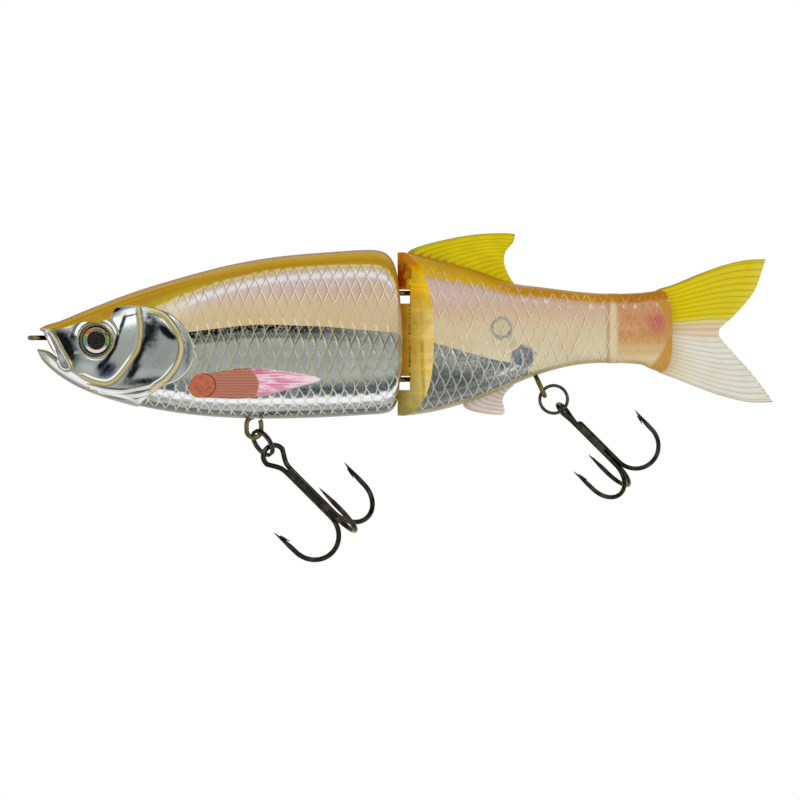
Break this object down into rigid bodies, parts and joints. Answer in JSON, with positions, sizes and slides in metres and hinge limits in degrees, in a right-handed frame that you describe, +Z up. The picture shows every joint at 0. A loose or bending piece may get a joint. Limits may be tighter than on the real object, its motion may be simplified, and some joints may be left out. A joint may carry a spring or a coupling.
{
  "type": "swimbait",
  "caption": "Two-section glide swimbait: hollow hinged fish body with soft dorsal, anal and forked tail fins, domed eyes, wire line tie and two treble hooks on split rings.",
  "frame": {"origin": "centre of the line-tie eye at the nose", "axes": "+X towards the tail, +Z up through the back, +Y the fish's right side"},
  "size_m": [0.1809, 0.0266, 0.0798],
  "materials": {
    "body_plastic": "clear-coated, foil-stamped and air-brushed",
    "eye_iris": "holographic print",
    "eye_dome": "clear domed resin",
    "ballast_steel": "plain",
    "pin_steel": "drawn",
    "wire_steel": "drawn wire, warm tarnish",
    "dorsal_fin_soft": "soft translucent yellow",
    "anal_fin_soft": "soft translucent pale pink",
    "tail_fin_soft": "soft translucent, yellow above and clear below",
    "split_ring_steel": "black nickel",
    "hook_steel": "black nickel"
  },
  "bodies": {
    "front_body": {"front_shell_left": "body_plastic", "front_shell_right": "body_plastic", "line_tie_wire": "wire_steel", "upper_joint_wire": "wire_steel", "lower_joint_wire": "wire_steel", "front_hook_hanger": "wire_steel", "left_eye_iris": "eye_iris", "left_eye_dome": "eye_dome", "right_eye_iris": "eye_iris", "right_eye_dome": "eye_dome", "front_ballast_1": "ballast_steel", "front_ballast_2": "ballast_steel", "front_ballast_3": "ballast_steel", "front_ballast_4": "ballast_steel"},
    "rear_body": {"rear_shell_left": "body_plastic", "rear_shell_right": "body_plastic", "hinge_pin": "pin_steel", "hinge_pin_plug": "body_plastic", "rear_hook_hanger": "wire_steel", "rear_ballast": "ballast_steel", "dorsal_fin": "dorsal_fin_soft", "anal_fin": "anal_fin_soft", "tail_fin": "tail_fin_soft", "tail_lock_pin": "pin_steel"},
    "front_ring": {"front_split_ring": "split_ring_steel"},
    "front_hook": {"front_treble_double": "hook_steel", "front_treble_single": "hook_steel"},
    "rear_ring": {"rear_split_ring": "split_ring_steel"},
    "rear_hook": {"rear_treble_double": "hook_steel", "rear_treble_single": "hook_steel"}
  },
  "joints": [
    {"name": "tail_hinge", "type": "hinge", "parent": "front_body", "child": "rear_body", "pos_m": [0.091, 0, 0], "axis": [0, 0, 1], "range_deg": [-30, 30]},
    {"name": "front_ring_swing", "type": "hinge", "parent": "front_body", "child": "front_ring", "pos_m": [0.0526, 0, -0.0224], "axis": [0, 1, 0], "range_deg": [-8, 60]},
    {"name": "front_hook_swing", "type": "hinge", "parent": "front_ring", "child": "front_hook", "pos_m": [0.05667, 0, -0.02822], "axis": [-0.4096, 0.866, -0.2868], "range_deg": [-10, 22]},
    {"name": "rear_ring_swing", "type": "hinge", "parent": "rear_body", "child": "rear_ring", "pos_m": [0.12306, 0, -0.01408], "axis": [0, 1, 0], "range_deg": [-8, 60]},
    {"name": "rear_hook_swing", "type": "hinge", "parent": "rear_ring", "child": "rear_hook", "pos_m": [0.12522, 0, -0.01491], "axis": [0, 1, 0], "range_deg": [-10, 30]}
  ]
}
